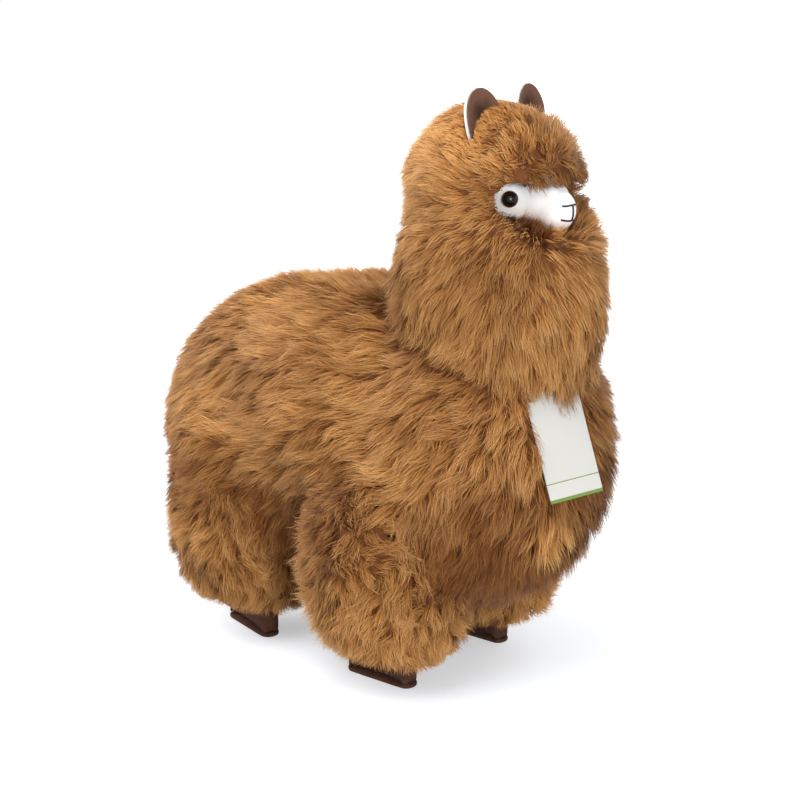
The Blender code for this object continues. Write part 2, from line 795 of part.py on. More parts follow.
def build_eyes():
    eye = turned("eye", eye_profile())
    washer = turned("washer", washer_profile())
    for word, side in SIDES:
        piece(f"eye_{word}", placed(eye, eye_matrix(side)), EYE_PLASTIC)
        piece(f"eye_washer_{word}", placed(washer, eye_matrix(side)), NYLON)


def build_mouth(runs):
    stitching = piece("mouth_stitching", runs[0], THREAD)
    for number, run in enumerate(runs[1:]):
        join = stitching.modifiers.new(f"Join {number}", "BOOLEAN")
        join.operation = "UNION"
        join.object = helper(f"thread_{number}", run)
    settle(stitching)


def build_ears():
    """The ears and linings, and the slots that the head leaves for them."""
    slots = []
    for word, side in SIDES:
        suede = ear_layer("suede", side, 0.0, SUEDE_THICKNESS)
        piece(f"ear_{word}", suede, SUEDE)
        inner = SUEDE_THICKNESS + SHEET_GAP
        lining = ear_layer("lining", side, inner, inner + LINING_THICKNESS)
        piece(f"ear_lining_{word}", lining, FLEECE)
        outer = inner + LINING_THICKNESS + FIT
        slots.append(helper(f"ear_slot_{word}", ear_layer("slot", side, -FIT, outer, FIT)))
    return slots


def build_tail():
    tail = piece("tail", tail_form(TORSO_SURFACE), FUR)
    cut(tail, swollen("torso_room_tail", TORSO, FIT))
    settle(tail)


def centre_on_box():
    """Brings the middle of the toy's outline over the origin."""
    bpy.context.view_layer.update()
    shown = [obj for obj in PIECES.objects if obj.type == "MESH"]
    points = [obj.matrix_world @ vert.co for obj in shown for vert in obj.data.vertices]
    for axis in (0, 1):
        values = [p[axis] for p in points]
        ROOT.location[axis] = -(min(values) + max(values)) / 2


def main():
    torso_room = swollen("torso_room", TORSO, FIT)
    face_room = swollen("face_room", FACE, FIT)
    tag_slot = helper("tag_slot", tag_block("tag_slot", FIT))
    tag_bed = helper("tag_bed", tag_block("tag_bed", FIT, CHEST_LENGTH / 2))
    runs = mouth_runs()
    ear_slots = build_ears()
    foot_rooms = build_feet()
    build_torso(tag_bed)
    build_neck(torso_room, face_room, tag_slot, ear_slots)
    build_legs(torso_room, foot_rooms)
    build_tail()
    build_face()
    build_eyes()
    build_mouth(runs)
    piece("hang_tag", tag_block("hang_tag", 0.0), CARD)
    centre_on_box()


main()
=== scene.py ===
"""A standing plush alpaca in long caramel fur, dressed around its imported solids. Metres, +Z up, facing -Y."""

import math
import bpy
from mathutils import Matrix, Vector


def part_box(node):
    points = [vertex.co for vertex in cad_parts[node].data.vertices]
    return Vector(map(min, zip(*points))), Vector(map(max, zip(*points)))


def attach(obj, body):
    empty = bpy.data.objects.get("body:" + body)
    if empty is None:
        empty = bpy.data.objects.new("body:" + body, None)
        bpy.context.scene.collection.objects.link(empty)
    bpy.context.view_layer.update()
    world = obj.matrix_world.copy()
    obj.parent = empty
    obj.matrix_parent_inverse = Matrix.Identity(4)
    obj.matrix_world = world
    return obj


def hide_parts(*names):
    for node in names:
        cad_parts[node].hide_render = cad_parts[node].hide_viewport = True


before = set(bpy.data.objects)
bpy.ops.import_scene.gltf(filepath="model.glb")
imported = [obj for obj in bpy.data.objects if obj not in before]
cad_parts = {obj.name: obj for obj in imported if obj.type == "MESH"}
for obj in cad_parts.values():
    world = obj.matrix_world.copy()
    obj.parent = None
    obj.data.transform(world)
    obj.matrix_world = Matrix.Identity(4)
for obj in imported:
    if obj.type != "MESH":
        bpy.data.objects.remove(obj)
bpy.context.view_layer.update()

from types import SimpleNamespace

import bmesh
import bpy
import numpy as np
from mathutils import Matrix, Vector, noise
from mathutils.bvhtree import BVHTree
from mathutils.kdtree import KDTree

MM = 0.001
SIDES = ("right", "left")
FURRED = (
    "torso",
    "neck_and_head",
    "leg_front_right",
    "leg_front_left",
    "leg_rear_right",
    "leg_rear_left",
    "tail",
)
rng = np.random.default_rng(41)


def middle(node):
    low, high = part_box(node)
    return (Vector(low) + Vector(high)) / 2


# Landmarks, taken from the solids
EYES = {word: middle(f"eye_{word}") for word in SIDES}
EARS = {word: middle(f"ear_{word}") for word in SIDES}
FACE_MIDDLE = middle("face")
HEAD_MIDDLE = Vector((0, FACE_MIDDLE.y + 0.028, FACE_MIDDLE.z + 0.003))
SNOUT = middle("mouth_stitching")
CARD = middle("hang_tag")
GROUND_MIDDLE = middle("sole_front_right") + Vector((0.0535, 0.041, 0))


# Camera and light
CAMERA_TURN = -50  # degrees round the toy, towards its right
CAMERA_DISTANCE = 1.2
CAMERA_Z = 0.491
AIM_ASIDE = 0.010
AIM_Z = 0.184
FOCAL_WIDTHS = 1732 / 800  # focal length, in widths of the picture
SENSOR_WIDTH = 36


def make_camera():
    """The photograph's view: from the toy's front right, a little above it."""
    turn = math.radians(CAMERA_TURN)
    aside = Vector((math.cos(turn), math.sin(turn), 0))
    away = Vector((math.sin(turn), -math.cos(turn), 0))
    place = away * CAMERA_DISTANCE + Vector((GROUND_MIDDLE.x, GROUND_MIDDLE.y, CAMERA_Z))
    aim = aside * AIM_ASIDE + Vector((GROUND_MIDDLE.x, GROUND_MIDDLE.y, AIM_Z))
    lens = bpy.data.cameras.new("camera")
    lens.sensor_width = SENSOR_WIDTH
    lens.lens = FOCAL_WIDTHS * SENSOR_WIDTH
    camera = bpy.data.objects.new("camera", lens)
    camera.location = place
    camera.rotation_euler = (aim - place).to_track_quat("-Z", "Y").to_euler()
    bpy.context.scene.collection.objects.link(camera)
    bpy.context.scene.camera = camera


def softbox(name, place, target, size, power, tint=(1, 1, 1)):
    """A round lamp, its width in metres and its power in watts, that shines at a target."""
    lamp = bpy.data.lights.new(name, "AREA")
    lamp.shape = "DISK"
    lamp.size = size
    lamp.energy = power
    lamp.color = tint
    box = bpy.data.objects.new(name, lamp)
    box.location = place
    box.rotation_euler = (Vector(target) - Vector(place)).to_track_quat("-Z", "Y").to_euler()
    bpy.context.scene.collection.objects.link(box)


def make_studio():
    """Air that looks white but lights the toy at a plain level, and four lamps round it."""
    world = bpy.data.worlds.new("studio_air")
    bpy.context.scene.world = world
    world.use_nodes = True
    tree = world.node_tree
    tree.nodes.clear()
    path = tree.nodes.new("ShaderNodeLightPath")
    seen = tree.nodes.new("ShaderNodeMath")
    seen.operation = "MAXIMUM"
    seen_clear = tree.nodes.new("ShaderNodeMath")
    seen_clear.operation = "MAXIMUM"
    tree.links.new(path.outputs["Is Camera Ray"], seen.inputs[0])
    tree.links.new(path.outputs["Is Glossy Ray"], seen.inputs[1])
    tree.links.new(seen.outputs[0], seen_clear.inputs[0])
    tree.links.new(path.outputs["Is Transmission Ray"], seen_clear.inputs[1])
    air = tree.nodes.new("ShaderNodeBackground")
    air.inputs["Color"].default_value = (0.94, 0.97, 1.0, 1)
    air.inputs["Strength"].default_value = 0.60
    white = tree.nodes.new("ShaderNodeBackground")
    white.inputs["Color"].default_value = (1, 1, 1, 1)
    white.inputs["Strength"].default_value = 1.0
    mix = tree.nodes.new("ShaderNodeMixShader")
    out = tree.nodes.new("ShaderNodeOutputWorld")
    tree.links.new(seen_clear.outputs[0], mix.inputs["Fac"])
    tree.links.new(air.outputs[0], mix.inputs[1])
    tree.links.new(white.outputs[0], mix.inputs[2])
    tree.links.new(mix.outputs[0], out.inputs["Surface"])
    softbox("key_light", (-1.15, -0.25, 1.75), (0, -0.02, 0.18), 1.2, 18, (1.0, 0.985, 0.96))
    softbox("fill_light", (-0.9, -1.35, 0.55), (0, -0.05, 0.2), 0.55, 12)
    softbox("rear_light", (-0.55, 1.5, 0.95), (0, 0, 0.2), 1.4, 21)
    softbox("side_light", (1.6, 0.1, 0.9), (0, 0, 0.2), 1.2, 13)
    bpy.context.scene.view_settings.view_transform = "Standard"


def make_floor():
    bm = bmesh.new()
    bmesh.ops.create_circle(bm, cap_ends=True, radius=6.0, segments=96)
    floor = new_piece("floor", bm, [floor_white()])


# Materials
def new_material(name, roughness, **sockets):
    made = bpy.data.materials.new(name)
    made.use_nodes = True
    shader = made.node_tree.nodes["Principled BSDF"]
    shader.inputs["Roughness"].default_value = roughness
    for socket, value in sockets.items():
        shader.inputs[socket.replace("_", " ")].default_value = value
    return made, made.node_tree, shader


def node(tree, kind, **settings):
    made = tree.nodes.new(kind)
    for key, value in settings.items():
        if key in made.inputs:
            made.inputs[key].default_value = value
        else:
            setattr(made, key, value)
    return made


def ramp(tree, stops):
    made = tree.nodes.new("ShaderNodeValToRGB")
    elements = made.color_ramp.elements
    while len(elements) > 1:
        elements.remove(elements[-1])
    elements[0].position, elements[0].color = stops[0][0], (*stops[0][1], 1)
    for place, colour in stops[1:]:
        elements.new(place).color = (*colour, 1)
    return made


def grain_group():
    """Fine uneven grain: a mask for colour, and a height for bump."""
    group = bpy.data.node_groups.new("grain", "ShaderNodeTree")
    for name, kind, way in (
        ("Vector", "NodeSocketVector", "INPUT"),
        ("Scale", "NodeSocketFloat", "INPUT"),
        ("Patch", "NodeSocketFloat", "OUTPUT"),
        ("Height", "NodeSocketFloat", "OUTPUT"),
    ):
        group.interface.new_socket(name, in_out=way, socket_type=kind)
    inside = group.nodes.new("NodeGroupInput")
    outside = group.nodes.new("NodeGroupOutput")
    fine = node(group, "ShaderNodeTexNoise", Detail=6.0, Roughness=0.62)
    broad = node(group, "ShaderNodeTexNoise", Detail=3.0)
    share = node(group, "ShaderNodeMath", operation="MULTIPLY")
    share.inputs[1].default_value = 0.12
    group.links.new(inside.outputs["Vector"], fine.inputs["Vector"])
    group.links.new(inside.outputs["Vector"], broad.inputs["Vector"])
    group.links.new(inside.outputs["Scale"], fine.inputs["Scale"])
    group.links.new(inside.outputs["Scale"], share.inputs[0])
    group.links.new(share.outputs[0], broad.inputs["Scale"])
    group.links.new(broad.outputs["Fac"], outside.inputs["Patch"])
    group.links.new(fine.outputs["Fac"], outside.inputs["Height"])
    return group


GRAIN = grain_group()


def add_grain(tree, shader, scale, bump, distance):
    """The grain in a material, raised as a bump: the piece's own coordinates, and the grain's node."""
    place = tree.nodes.new("ShaderNodeTexCoord")
    grain = node(tree, "ShaderNodeGroup", node_tree=GRAIN)
    grain.inputs["Scale"].default_value = scale
    tree.links.new(place.outputs["Object"], grain.inputs["Vector"])
    raised = node(tree, "ShaderNodeBump", Strength=bump, Distance=distance)
    tree.links.new(grain.outputs["Height"], raised.inputs["Height"])
    tree.links.new(raised.outputs["Normal"], shader.inputs["Normal"])
    return place, grain


def grained(name, scale, colours, roughness, bump, distance, **sockets):
    """A material whose colour drifts between two shades, with a bumpy grain."""
    made, tree, shader = new_material(name, roughness, **sockets)
    _, grain = add_grain(tree, shader, scale, bump, distance)
    mixed = node(tree, "ShaderNodeMath", operation="MULTIPLY_ADD")
    mixed.inputs[1].default_value = 0.5
    tree.links.new(grain.outputs["Height"], mixed.inputs[0])
    halved = node(tree, "ShaderNodeMath", operation="MULTIPLY")
    halved.inputs[1].default_value = 0.5
    tree.links.new(grain.outputs["Patch"], halved.inputs[0])
    tree.links.new(halved.outputs[0], mixed.inputs[2])
    shades = ramp(tree, ((0.34, colours[0]), (0.66, colours[1])))
    tree.links.new(mixed.outputs[0], shades.inputs["Fac"])
    tree.links.new(shades.outputs["Color"], shader.inputs["Base Color"])
    return made


def fur_material(name, dark, light):
    """Hair colour from root to tip along the strand, between a dark and a light shade across the map; the dark
    roots and pale tips are partly the hair's own colour, partly painted shade deep in the coat and painted
    backlight glowing through the tips.
    """
    made, tree, shader = new_material(name, 0.62)
    shader.inputs["Specular IOR Level"].default_value = 0.16
    shader.inputs["Sheen Weight"].default_value = 0.12
    shader.inputs["Sheen Roughness"].default_value = 0.5
    shader.inputs["Sheen Tint"].default_value = (1.0, 0.78, 0.5, 1)
    place = node(tree, "ShaderNodeUVMap", uv_map="OFBake")
    split = tree.nodes.new("ShaderNodeSeparateXYZ")
    tree.links.new(place.outputs["UV"], split.inputs["Vector"])
    dark_ramp, light_ramp = ramp(tree, dark), ramp(tree, light)
    tree.links.new(split.outputs["Y"], dark_ramp.inputs["Fac"])
    tree.links.new(split.outputs["Y"], light_ramp.inputs["Fac"])
    mix = node(tree, "ShaderNodeMix", data_type="RGBA")
    tree.links.new(split.outputs["X"], mix.inputs["Factor"])
    tree.links.new(dark_ramp.outputs["Color"], mix.inputs[6])
    tree.links.new(light_ramp.outputs["Color"], mix.inputs[7])
    tree.links.new(mix.outputs[2], shader.inputs["Base Color"])
    return made


def floor_white():
    """Ground that looks white, whiter with distance, and still takes the toy's shadow."""
    made = bpy.data.materials.new("white_ground")
    made.use_nodes = True
    tree = made.node_tree
    tree.nodes.clear()
    path = tree.nodes.new("ShaderNodeLightPath")
    matt = tree.nodes.new("ShaderNodeBsdfDiffuse")
    matt.inputs["Color"].default_value = (0.74, 0.77, 0.81, 1)
    place = tree.nodes.new("ShaderNodeTexCoord")
    distance = node(tree, "ShaderNodeVectorMath", operation="LENGTH")
    far = node(tree, "ShaderNodeMapRange")
    far.inputs["From Min"].default_value = 0.35
    far.inputs["From Max"].default_value = 1.6
    far.inputs["To Min"].default_value = 0.42
    far.inputs["To Max"].default_value = 1.1
    lift = node(tree, "ShaderNodeMath", operation="MULTIPLY")
    tree.links.new(place.outputs["Object"], distance.inputs[0])
    tree.links.new(distance.outputs["Value"], far.inputs["Value"])
    tree.links.new(far.outputs["Result"], lift.inputs[1])
    glow = tree.nodes.new("ShaderNodeEmission")
    add = tree.nodes.new("ShaderNodeAddShader")
    out = tree.nodes.new("ShaderNodeOutputMaterial")
    tree.links.new(path.outputs["Is Camera Ray"], lift.inputs[0])
    tree.links.new(lift.outputs[0], glow.inputs["Strength"])
    tree.links.new(matt.outputs[0], add.inputs[0])
    tree.links.new(glow.outputs[0], add.inputs[1])
    tree.links.new(add.outputs[0], out.inputs["Surface"])
    return made


# Meshes
def new_piece(name, bm, materials):
    mesh = bpy.data.meshes.new(name)
    bm.to_mesh(mesh)
    bm.free()
    return mesh_piece(name, mesh, materials)


def mesh_piece(name, mesh, materials):
    piece = bpy.data.objects.new(name, mesh)
    bpy.context.scene.collection.objects.link(piece)
    mesh.materials.clear()
    for material in materials:
        mesh.materials.append(material)
    mesh.shade_smooth()
    return piece


def merged(*nodes):
    """The solids' meshes in one bmesh, with their loose corners joined."""
    bm = bmesh.new()
    for name in nodes:
        bm.from_mesh(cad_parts[name].data)
    bmesh.ops.remove_doubles(bm, verts=bm.verts, dist=0.02 * MM)
    return bm


def applied(piece):
    """The piece with its modifiers worked into its mesh."""
    graph = bpy.context.evaluated_depsgraph_get()
    mesh = bpy.data.meshes.new_from_object(piece.evaluated_get(graph))
    piece.modifiers.clear()
    piece.data = mesh
    return piece


def remeshed(name, bm, voxel, smoothing, sink, materials):
    """One even, softened skin round a form, sunk below its surface or, with a minus, raised above it."""
    piece = new_piece(name, bm, materials)
    fuse = piece.modifiers.new("Fuse", "REMESH")
    fuse.mode = "VOXEL"
    fuse.voxel_size = voxel
    soften = piece.modifiers.new("Soften", "SMOOTH")
    soften.factor = 0.5
    soften.iterations = smoothing
    if sink:
        shrink = piece.modifiers.new("Shrink", "DISPLACE")
        shrink.mid_level = 0
        shrink.strength = -sink
    applied(piece)
    piece.data.shade_smooth()
    return piece


def tree_of(mesh):
    """A mesh's surface, to find the nearest place on it."""
    bm = bmesh.new()
    bm.from_mesh(mesh)
    tree = BVHTree.FromBMesh(bm)
    bm.free()
    return tree


# Fur
PATH_SECTIONS = 5
HAIR_SECTIONS = 3
HAIR_TIMES = np.linspace(0, 1, HAIR_SECTIONS)


def hair_pattern():
    """One flat hair, a unit long and wide, that narrows to a point: its corners' places and its triangles."""
    bm = bmesh.new()
    bmesh.ops.create_grid(bm, x_segments=1, y_segments=HAIR_SECTIONS - 1, size=0.5)
    tip = [v for v in bm.verts if v.co.y > 0.499]
    bmesh.ops.pointmerge(bm, verts=tip, merge_co=(0, 0.5, 0))
    bmesh.ops.triangulate(bm, faces=bm.faces)
    bm.verts.ensure_lookup_table()
    section = np.array([round((v.co.y + 0.5) * (HAIR_SECTIONS - 1)) for v in bm.verts])
    aside = np.array([v.co.x for v in bm.verts])
    faces = np.array([[v.index for v in f.verts] for f in bm.faces])
    bm.free()
    return section, aside, faces


HAIR_SECTION, HAIR_ASIDE, HAIR_FACES = hair_pattern()


def unit(vectors):
    return vectors / np.maximum(np.linalg.norm(vectors, axis=-1, keepdims=True), 1e-9)


def resampled(values, times):
    """Each row's values, read again at other times along the row, from 0 to 1."""
    sections = values.shape[1]
    place = np.clip(times, 0, 1) * (sections - 1)
    lower = np.minimum(place.astype(int), sections - 2)
    part = (place - lower)[..., None]
    index = np.arange(len(values))[:, None]
    return values[index, lower] * (1 - part) + values[index, lower + 1] * part


def hair_mesh(name, hairs, materials):
    """Hairs as one mesh, from middle lines, ribbons across them, shading normals, shades and heights."""
    centres, across, normals, shades, heights = hairs
    count = len(centres)
    corners = len(HAIR_SECTION)
    points = centres[:, HAIR_SECTION] + across[:, HAIR_SECTION] * HAIR_ASIDE[None, :, None]
    faces = HAIR_FACES[None] + (np.arange(count) * corners)[:, None, None]
    faces = faces.reshape(-1, 3)
    mesh = bpy.data.meshes.new(name)
    mesh.vertices.add(count * corners)
    mesh.vertices.foreach_set("co", points.reshape(-1).astype(np.float32))
    mesh.loops.add(faces.size)
    mesh.loops.foreach_set("vertex_index", faces.reshape(-1).astype(np.int32))
    mesh.polygons.add(len(faces))
    mesh.polygons.foreach_set("loop_start", np.arange(0, faces.size, 3, dtype=np.int32))
    mesh.polygons.foreach_set("loop_total", np.full(len(faces), 3, dtype=np.int32))
    chart = mesh.uv_layers.new(name="OFBake")
    u = np.repeat(shades, corners).reshape(count, corners) + HAIR_ASIDE[None] * 0.012
    v = heights[:, HAIR_SECTION] * 0.98 + 0.01
    uv = np.stack([np.clip(u, 0.001, 0.999), v], -1).reshape(-1, 2)[faces.reshape(-1)]
    chart.data.foreach_set("uv", uv.reshape(-1).astype(np.float32))
    mesh.update(calc_edges=True)
    piece = mesh_piece(name, mesh, materials)
    mesh.normals_split_custom_set_from_vertices(normals[:, HAIR_SECTION].reshape(-1, 3))
    return piece


# How the fur of each region lies, in millimetres and degrees: spacing of the locks, hairs a lock,
# hair length and width, lock radius, depth of the roots, height of the tips, how far a lock's tips
# close up, how far a lock strays from the lie, its curl, and how far single hairs stray
FUR_LOOKS = {
    "torso": dict(
        spacing=6.2, hairs=58, length=20, width=0.46, radius=5.4, depth=8.0, tip=3.4, close=0.48,
        stray=32, curl=24, fuzz=1.6,
    ),
    "neck_and_head": dict(
        spacing=5.4, hairs=62, length=19, width=0.42, radius=5.0, depth=8.0, tip=3.6, close=0.26,
        stray=26, curl=20, fuzz=1.4,
    ),
    "leg": dict(
        spacing=5.6, hairs=47, length=13, width=0.46, radius=4.8, depth=7.0, tip=4.2, close=0.50,
        stray=60, curl=45, fuzz=1.7,
    ),
    "tail": dict(
        spacing=5.8, hairs=48, length=16, width=0.46, radius=5.0, depth=7.5, tip=3.4, close=0.45,
        stray=36, curl=26, fuzz=1.7,
    ),
}
STREWN_PLACES = 48000  # of which the locks' roots are picked
DOWN_SHARE = 0.34  # of the hairs that are short and soft
LOOSE_SHARE = 0.22  # of the hairs that stand off their lock
SHORTEST_LEFT = 0.15  # of its length, below which a trimmed hair goes

# Places that steer the fur: the felt's upper edge, the wavy parting above it, the brow and its foremost
# tip, the cheek beyond the muzzle, the chin, and on the chest a fold with painted shade in it and a patch of
# painted backlight over it
BROW_Z = EYES["right"].z + 6.6 * MM
PARTING_Z = FACE_MIDDLE.z + 0.024
BROW = Vector((0, SNOUT.y + 0.018, FACE_MIDDLE.z + 0.012))
BROW_TIP = Vector((0.008, SNOUT.y + 0.004, FACE_MIDDLE.z + 0.019))
FAR_CHEEK = Vector((0.044, SNOUT.y + 0.018, EYES["left"].z + 0.001))
CHIN = Vector((0, SNOUT.y + 0.014, SNOUT.z - 0.022))
CHEST_FOLD = (
    Vector((0.028, -0.180, 0.138)),
    Vector((-0.012, -0.180, 0.113)),
    Vector((-0.022, -0.152, 0.079)),
)
# The middle of a patch of painted backlight on the chest, over the fold
CHEST_PAINTED_BACKLIGHT = Vector((-0.020, -0.180, 0.130))
MIDDLES = {name: middle(name) for name in FURRED}
HEM_Z = {name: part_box(name)[0][2] for name in FURRED if name.startswith("leg")}


def look_of(region):
    return FUR_LOOKS["leg" if region.startswith("leg") else region]


def smooth_step(low, high, value):
    """0 at the first value and 1 at the second, whichever is larger, with soft ends."""
    t = min(1.0, max(0.0, (value - low) / (high - low)))
    return t * t * (3 - 2 * t)


def drifting(place):
    """Smooth noise in three directions, the same each run."""
    shifts = Vector((0, 0, 0)), Vector((31.4, 0, 0)), Vector((0, 47.2, 0))
    return Vector([noise.noise(place + shift) for shift in shifts])


def off_fold(point):
    """How far a place is from the fold between the chest and the far leg."""
    reach = []
    for start, end in zip(CHEST_FOLD, CHEST_FOLD[1:]):
        run = end - start
        t = min(1.0, max(0.0, (point - start).dot(run) / run.length_squared))
        reach.append((point - start - run * t).length)
    return min(reach)


def lie_of_fur(region, point, normal):
    """The way the hair is combed at a place on the coat."""
    aside = point.x / 0.1
    if region == "torso":
        top = max(0.0, normal.z)
        down = 0.55 + 0.35 * max(0.0, -normal.y)
        way = Vector((0.55 * aside * (0.4 + top), 0.80, -down))
        front = smooth_step(-0.08, -0.16, point.y)
        way += Vector((0.1 * aside, -0.62, -0.5)) * front
    elif region == "neck_and_head":
        out = (point - HEAD_MIDDLE).normalized()
        head = smooth_step(HEAD_MIDDLE.z - 0.060, HEAD_MIDDLE.z - 0.015, point.z)
        behind = smooth_step(HEAD_MIDDLE.y - 0.02, HEAD_MIDDLE.y + 0.05, point.y)
        face_out = (point - Vector((0, HEAD_MIDDLE.y - 0.055, HEAD_MIDDLE.z - 0.006))).normalized()
        way = face_out * head + Vector((0, 0.35, -0.75)) * head * behind
        way += Vector((0.15 * out.x, 0.18, -1.0)) * (1 - head)
        over_brow = smooth_step(0.044, 0.028, (point - BROW).length) * head
        parting = PARTING_Z + 0.007 * noise.noise(Vector((point.x, 0, 0)) * 70)
        over_brow *= smooth_step(parting + 0.008, parting - 0.008, point.z)
        way = way * (1 - over_brow) + Vector((0.5 * out.x, -0.25, -1.0)) * over_brow
        far = smooth_step(0.018, 0.008, (point - FAR_CHEEK).length)
        way = way * (1 - far) + Vector((0.7, -0.6, 0.1)) * far
        chin = smooth_step(0.026, 0.016, (point - CHIN).length)
        way = way * (1 - chin) + Vector((0.2 * out.x, -0.9, 0.35)) * chin
    elif region == "tail":
        way = Vector((0.2 * aside, 0.3, -1.0))
    else:
        leg = MIDDLES[region]
        way = Vector((point.x - leg.x, point.y - leg.y, 0)) * 9
        way = Vector((way.x * 0.8, way.y * 0.8 + 0.18, -0.95))
    way -= normal * way.dot(normal)
    return way.normalized() if way.length > 1e-4 else normal.orthogonal().normalized()


def shows(place):
    """Whether a place on the face is bare felt: below the brow, before the cheek, above the chin's fur."""
    back_y = EYES["right"].y + 3.2 * MM
    cheek = smooth_step(SNOUT.y + 17 * MM, back_y, place.y)
    low = SNOUT.z - (14 - 12.5 * cheek) * MM
    return low < place.z < BROW_Z and place.y < back_y


def coat_of(nodes):
    """The furred form and the face in one skin, with the fine gaps between the solids closed."""
    return remeshed("coat", merged(*nodes), 5.0 * MM, 4, 0, [])


def lock_roots(coat, region_trees):
    """Evenly strewn roots for the locks: place, normal and region of each, and whether it is on the face."""
    mesh = coat.data
    mesh.calc_loop_triangles()
    corners = np.zeros(len(mesh.vertices) * 3)
    mesh.vertices.foreach_get("co", corners)
    corners = corners.reshape(-1, 3)
    tris = np.zeros(len(mesh.loop_triangles) * 3, np.int32)
    mesh.loop_triangles.foreach_get("vertices", tris)
    tris = tris.reshape(-1, 3)
    a, b, c = (corners[tris[:, i]] for i in range(3))
    crosses = np.cross(b - a, c - a)
    areas = np.linalg.norm(crosses, axis=1) / 2
    total = STREWN_PLACES
    picked = rng.choice(len(tris), total, p=areas / areas.sum())
    u, v = rng.random(total), rng.random(total)
    over = u + v > 1
    u[over], v[over] = 1 - u[over], 1 - v[over]
    places = a[picked] + u[:, None] * (b - a)[picked] + v[:, None] * (c - a)[picked]
    normals = unit(crosses[picked])
    face_tree = tree_of(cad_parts["face"].data)
    regions, on_felt = [], []
    for place in places:
        reach = [(tree.find_nearest(place)[3], name) for name, tree in region_trees.items()]
        distance, region = min(reach)
        found, _, _, on_face = face_tree.find_nearest(place)
        bare = on_face < distance and shows(found)
        regions.append(None if bare else region)
        on_felt.append(on_face < distance)
    net = KDTree(total)
    for i, place in enumerate(places):
        net.insert(place, i)
    net.balance()
    free = np.ones(total, bool)
    kept = []
    for i in range(total):
        if free[i] and regions[i]:
            kept.append(i)
            for _, j, _ in net.find_range(places[i], look_of(regions[i])["spacing"] * MM):
                free[j] = False
    return [(Vector(places[i]), Vector(normals[i]), regions[i], on_felt[i]) for i in kept]


def lock_path(tree, root, normal, region, stray, curl, phase, length):
    """A lock's line over the coat, with the coat's normal and the way along at each section."""
    points, normals, ways = [root], [normal], []
    step = length / (PATH_SECTIONS - 1)
    here, up = root, normal
    bank = HEM_Z.get(region, -1)
    for k in range(PATH_SECTIONS):
        angle = stray + curl * math.sin(phase + 2.1 * k)
        way = lie_of_fur(region, here, up)
        way = Matrix.Rotation(angle, 3, up) @ way
        ways.append(way)
        if k == PATH_SECTIONS - 1:
            break
        ahead = here + way * step
        found, facing, _, _ = tree.find_nearest(ahead)
        hangs = region == "neck_and_head" and facing.z < -0.45 and way.z < -0.5
        if ahead.z < bank + 0.004 or hangs:
            here = ahead
        else:
            up = (up + facing).normalized()
            here = found
        points.append(here)
        normals.append(up)
    return points, normals, ways


def style_head(lock, root, normal, trees):
    """Shorter and paler towards the crown, darker at the brow, raised at brow and chin, flat beside the felt
    and the ears; the chin and the hair beside the felt below the eyes are paler as painted light.
    """
    near_face = (root - HEAD_MIDDLE - Vector((0, -0.045, -0.006))).length
    head = smooth_step(HEAD_MIDDLE.z - 0.075, HEAD_MIDDLE.z - 0.02, root.z)
    lock.length *= 1 - 0.25 * head
    lock.length *= 0.62 + 0.38 * smooth_step(0.030, 0.060, near_face)
    lock.lift *= 1 - 0.60 * head
    brow = smooth_step(0.040, 0.020, (root - BROW).length)
    lock.length *= 1 + 0.12 * brow
    front = smooth_step(0.060, 0.035, (root - BROW).length)
    lock.twist += rng.normal() * (0.10 * head + 0.30 * front)
    lock.length *= 1 - 0.30 * front
    lock.lift += 1.8 * front
    lock.lift -= 2.2 * smooth_step(0.028, 0.012, (root - BROW_TIP).length)
    crown = smooth_step(HEAD_MIDDLE.z + 0.006, HEAD_MIDDLE.z + 0.030, root.z)
    lock.shade += 0.02 * (1 - head) + 0.36 * crown - 0.16 * brow
    chin = smooth_step(0.046, 0.030, (root - CHIN).length) * smooth_step(0.2, 0.6, normal.z)
    lock.lift += 5.5 * chin
    # Painted light: the chin's hair is paler to lift the shadow under the muzzle
    lock.shade += 0.30 * chin
    lock.lift += 1.5 * smooth_step(0.020, 0.008, (root - FAR_CHEEK).length)
    by_felt = smooth_step(0.011, 0.004, trees["face"].find_nearest(root)[3])
    by_felt *= smooth_step(EYES["right"].z + 0.006, EYES["right"].z, root.z)
    # Painted light: hair beside the felt below the eyes is paler to lift the shadow on that fringe
    lock.shade += 0.24 * by_felt
    lock.lift -= 0.8 * by_felt
    ear_gap = min(trees[f"ear_{word}"].find_nearest(root)[3] for word in SIDES)
    by_ear = smooth_step(0.026, 0.012, ear_gap)
    lock.length *= 1 - 0.45 * by_ear
    lock.lift = lock.lift * (1 - by_ear) - 5.4 * by_ear
    lock.wild = 1 - 0.75 * max(by_felt, by_ear)
    room = trees["torso"].find_nearest(root)[3]
    above_card = smooth_step(-0.135, -0.165, root.y)
    lock.length = min(lock.length, room + (4 + 12 * above_card) * MM)


def style_torso(lock, root, trees):
    """Low in the crease round the neck, with painted shade in the crease and under the belly, painted light on
    the rump's top, and full on the chest.
    """
    crease = smooth_step(0.015, 0.002, trees["neck_and_head"].find_nearest(root)[3])
    lock.lift -= 3.0 * crease
    # Painted shade in the crease round the neck
    lock.shade -= 0.22 * crease
    # Painted shade under the belly, and painted light on the top of the rump
    lock.shade -= 0.46 * smooth_step(0.20, 0.12, root.z)
    lock.shade += 0.26 * smooth_step(0.225, 0.27, root.z) * smooth_step(0.0, 0.06, root.y)
    lock.lift += 5.5 * smooth_step(-0.150, -0.175, root.y) * smooth_step(0.215, 0.190, root.z)
    off_middle = 1 - smooth_step(0.012, 0.004, abs(root.z - 0.16))
    lock.lift -= 4.0 * smooth_step(0.10, 0.14, root.y) * off_middle


